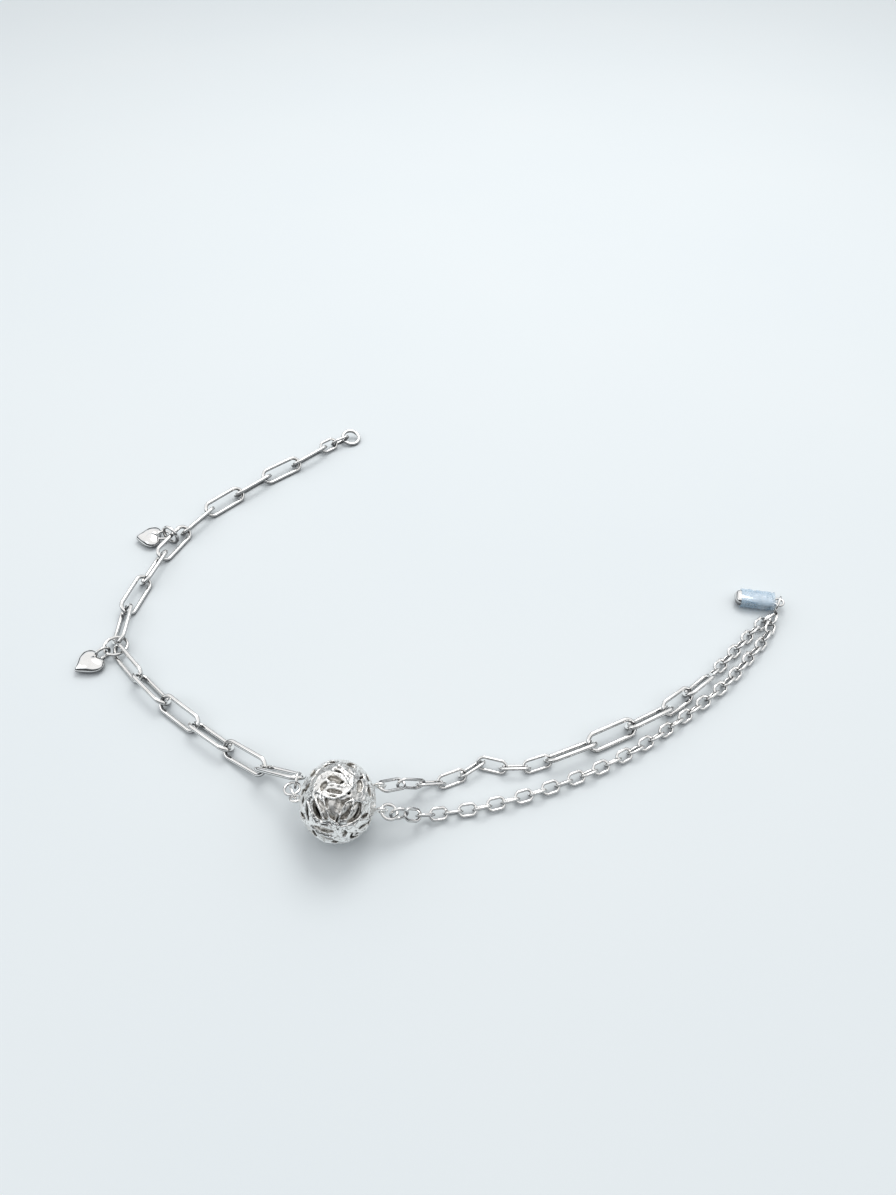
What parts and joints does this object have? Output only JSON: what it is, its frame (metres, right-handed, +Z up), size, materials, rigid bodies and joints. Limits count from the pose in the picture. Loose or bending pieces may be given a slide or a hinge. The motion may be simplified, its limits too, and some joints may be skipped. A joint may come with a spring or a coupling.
{
  "type": "charm anklet",
  "caption": "Silver charm anklet laid open: an openwork ball, an oval-link chain with heart charms, and a pair of finer strands that meet at a film-wrapped clasp.",
  "frame": {"origin": "middle of the bounding box in plan, on the plane the anklet lies on", "axes": "+Z up, +X towards the clasp along the longest extent, +Y towards the chain's free end"},
  "size_m": [0.1244, 0.1008, 0.0124],
  "materials": {
    "polished_silver": "polished silver wire with fine wear",
    "cast_silver": "cast silver, lightly textured, darker in its slots",
    "blue_film": "thin glossy translucent film"
  },
  "bodies": {
    "root": {"ball": "cast_silver", "ball_ring_1": "polished_silver", "ball_ring_2": "polished_silver", "ball_ring_3": "polished_silver", "link_01": "polished_silver", "link_02": "polished_silver", "link_03": "polished_silver", "link_04": "polished_silver", "link_05": "polished_silver", "link_06": "polished_silver", "link_07": "polished_silver", "link_08": "polished_silver", "link_09": "polished_silver", "link_10": "polished_silver", "link_11": "polished_silver", "link_12": "polished_silver", "link_13": "polished_silver", "link_14": "polished_silver", "link_15": "polished_silver", "end_link_1": "polished_silver", "end_link_2": "polished_silver", "end_ring": "polished_silver", "heart_ring_near": "polished_silver", "heart_near": "polished_silver", "heart_ring_far": "polished_silver", "heart_far": "polished_silver", "strand_ring_1": "polished_silver", "strand_ring_2": "polished_silver", "cable_strand": "polished_silver", "short_link_01": "polished_silver", "short_link_02": "polished_silver", "short_link_03": "polished_silver", "short_link_04": "polished_silver", "short_link_05": "polished_silver", "short_link_06": "polished_silver", "short_link_07": "polished_silver", "short_link_08": "polished_silver", "upper_link_1": "polished_silver", "upper_link_2": "polished_silver", "upper_link_3": "polished_silver", "upper_link_4": "polished_silver", "upper_link_5": "polished_silver", "cable_tail": "polished_silver", "clasp_ring": "polished_silver", "clasp": "polished_silver", "clasp_film": "blue_film"}
  },
  "joints": []
}
